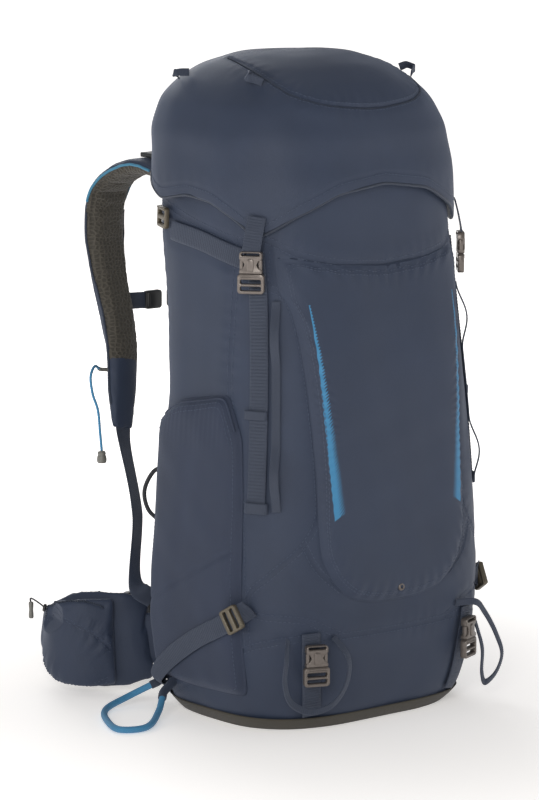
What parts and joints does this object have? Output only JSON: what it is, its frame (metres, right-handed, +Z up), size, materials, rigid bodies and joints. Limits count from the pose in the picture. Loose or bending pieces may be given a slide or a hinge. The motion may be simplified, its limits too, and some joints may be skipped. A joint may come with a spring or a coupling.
{
  "type": "travel backpack",
  "caption": "Tall top-loading travel backpack with a buckled lid, front and side pockets, compression straps, shoulder straps and a padded hip belt.",
  "frame": {"origin": "middle of the sole, on its underside", "axes": "+Z up, -Y towards the front of the pack (away from the wearer), +X towards the wearer's right"},
  "size_m": [0.4459, 0.4128, 0.68],
  "materials": {
    "navy_fabric": "woven nylon, matt",
    "navy_lining": "thin woven nylon, matt",
    "sole_fabric": "heavy woven nylon, matt",
    "spacer_mesh": "open spacer mesh, matt",
    "navy_webbing": "woven webbing, matt",
    "buckle_plastic": "moulded, satin pewter",
    "hardware_plastic": "moulded, satin bronze",
    "black_plastic": "moulded, satin",
    "black_webbing": "woven webbing, matt",
    "blue_cord": "braided cord, matt",
    "grey_plastic": "moulded, satin",
    "frame_plastic": "extruded sheet, satin"
  },
  "bodies": {
    "pack": {"main_bag": "navy_fabric", "base_panel": "sole_fabric", "collar": "navy_lining", "front_pocket": "navy_fabric", "back_pad": "spacer_mesh", "lumbar_pad": "spacer_mesh", "frame_sheet": "frame_plastic", "side_gear_loop": "black_webbing", "pole_loop": "blue_cord", "side_pocket_left": "navy_fabric", "side_pocket_right": "navy_fabric", "front_strap_left": "navy_webbing", "front_strap_right": "navy_webbing", "daisy_chain_left": "navy_webbing", "daisy_chain_right": "navy_webbing", "upper_side_strap_left": "navy_webbing", "upper_side_strap_right": "navy_webbing", "upper_side_buckle_left": "hardware_plastic", "upper_side_buckle_right": "hardware_plastic", "lower_side_strap_left": "navy_webbing", "lower_side_strap_right": "navy_webbing", "lower_side_buckle_left": "hardware_plastic", "lower_side_buckle_right": "hardware_plastic", "base_buckle_female_left": "buckle_plastic", "base_buckle_female_right": "buckle_plastic", "base_strap_left": "navy_webbing", "base_strap_right": "navy_webbing", "tool_loop_left": "navy_webbing", "tool_loop_right": "navy_webbing"},
    "lid": {"lid": "navy_fabric", "lid_buckle_female_left": "buckle_plastic", "lid_buckle_female_right": "buckle_plastic", "lid_loop_rear_left": "navy_webbing", "lid_loop_rear_right": "navy_webbing", "lid_loop_front_left": "navy_webbing", "lid_loop_front_right": "navy_webbing"},
    "lid_zip_pull": {"lid_zip_pull": "grey_plastic"},
    "haul_loop": {"haul_loop": "navy_webbing"},
    "lid_buckle_male_left": {"lid_buckle_male_left": "buckle_plastic"},
    "base_buckle_male_left": {"base_buckle_male_left": "buckle_plastic"},
    "shoulder_strap_left": {"shoulder_pad_left": "spacer_mesh", "shoulder_webbing_left": "navy_webbing", "load_lifter_left": "black_plastic", "bungee_cord": "blue_cord", "bungee_toggle": "grey_plastic"},
    "sternum_strap_left": {"sternum_strap_left": "black_plastic"},
    "hip_belt_left": {"belt_wing_left": "spacer_mesh", "belt_pocket_left": "navy_fabric", "belt_webbing_left": "black_plastic"},
    "belt_zip_pull_left": {"belt_zip_pull_left": "grey_plastic"},
    "lid_buckle_male_right": {"lid_buckle_male_right": "buckle_plastic"},
    "base_buckle_male_right": {"base_buckle_male_right": "buckle_plastic"},
    "shoulder_strap_right": {"shoulder_pad_right": "spacer_mesh", "shoulder_webbing_right": "navy_webbing", "load_lifter_right": "black_plastic"},
    "sternum_strap_right": {"sternum_strap_right": "black_plastic"},
    "hip_belt_right": {"belt_wing_right": "spacer_mesh", "belt_pocket_right": "navy_fabric", "belt_webbing_right": "black_plastic"},
    "belt_zip_pull_right": {"belt_zip_pull_right": "grey_plastic"}
  },
  "joints": [
    {"name": "lid_hinge", "type": "hinge", "parent": "pack", "child": "lid", "pos_m": [0, 0.172, 0.572], "axis": [-1, 0, 0], "range_deg": [0, 85], "deforming": ["lid_buckle_male_left", "lid_buckle_male_right"]},
    {"name": "lid_zip_slide", "type": "slide", "parent": "lid", "child": "lid_zip_pull", "axis": [0.1, -0.995, 0], "range_m": [0, 0.05]},
    {"name": "haul_loop_swing", "type": "hinge", "parent": "pack", "child": "haul_loop", "pos_m": [0, 0.173, 0.548], "axis": [1, 0, 0], "range_deg": [0, 60]},
    {"name": "lid_buckle_left_release", "type": "slide", "parent": "pack", "child": "lid_buckle_male_left", "axis": [0, 0, -1], "range_m": [0, 0.016]},
    {"name": "lid_buckle_right_release", "type": "slide", "parent": "pack", "child": "lid_buckle_male_right", "axis": [0, 0, -1], "range_m": [0, 0.016]},
    {"name": "base_buckle_left_release", "type": "slide", "parent": "pack", "child": "base_buckle_male_left", "axis": [0, 0, -1], "range_m": [0, 0.016]},
    {"name": "base_buckle_right_release", "type": "slide", "parent": "pack", "child": "base_buckle_male_right", "axis": [0, 0, -1], "range_m": [0, 0.016]},
    {"name": "shoulder_strap_left_swing", "type": "hinge", "parent": "pack", "child": "shoulder_strap_left", "pos_m": [-0.062, 0.168, 0.538], "axis": [0.2029, 0.118, 0.9721], "range_deg": [0, 45]},
    {"name": "sternum_strap_left_slide", "type": "slide", "parent": "shoulder_strap_left", "child": "sternum_strap_left", "axis": [-0.042, -0.2501, -0.9673], "range_m": [-0.015, 0.02]},
    {"name": "hip_belt_left_swing", "type": "hinge", "parent": "pack", "child": "hip_belt_left", "pos_m": [-0.106, 0.158, 0.06], "axis": [0, 0, 1], "range_deg": [0, 40]},
    {"name": "belt_zip_left_slide", "type": "slide", "parent": "hip_belt_left", "child": "belt_zip_pull_left", "axis": [-0.3, -0.9539, 0], "range_m": [0, 0.04]},
    {"name": "shoulder_strap_right_swing", "type": "hinge", "parent": "pack", "child": "shoulder_strap_right", "pos_m": [0.062, 0.168, 0.538], "axis": [0.2029, -0.118, -0.9721], "range_deg": [0, 45]},
    {"name": "sternum_strap_right_slide", "type": "slide", "parent": "shoulder_strap_right", "child": "sternum_strap_right", "axis": [0.042, -0.2501, -0.9673], "range_m": [-0.015, 0.02]},
    {"name": "hip_belt_right_swing", "type": "hinge", "parent": "pack", "child": "hip_belt_right", "pos_m": [0.106, 0.158, 0.06], "axis": [0, 0, -1], "range_deg": [0, 40]},
    {"name": "belt_zip_right_slide", "type": "slide", "parent": "hip_belt_right", "child": "belt_zip_pull_right", "axis": [0.3, -0.9539, 0], "range_m": [0, 0.04]}
  ]
}
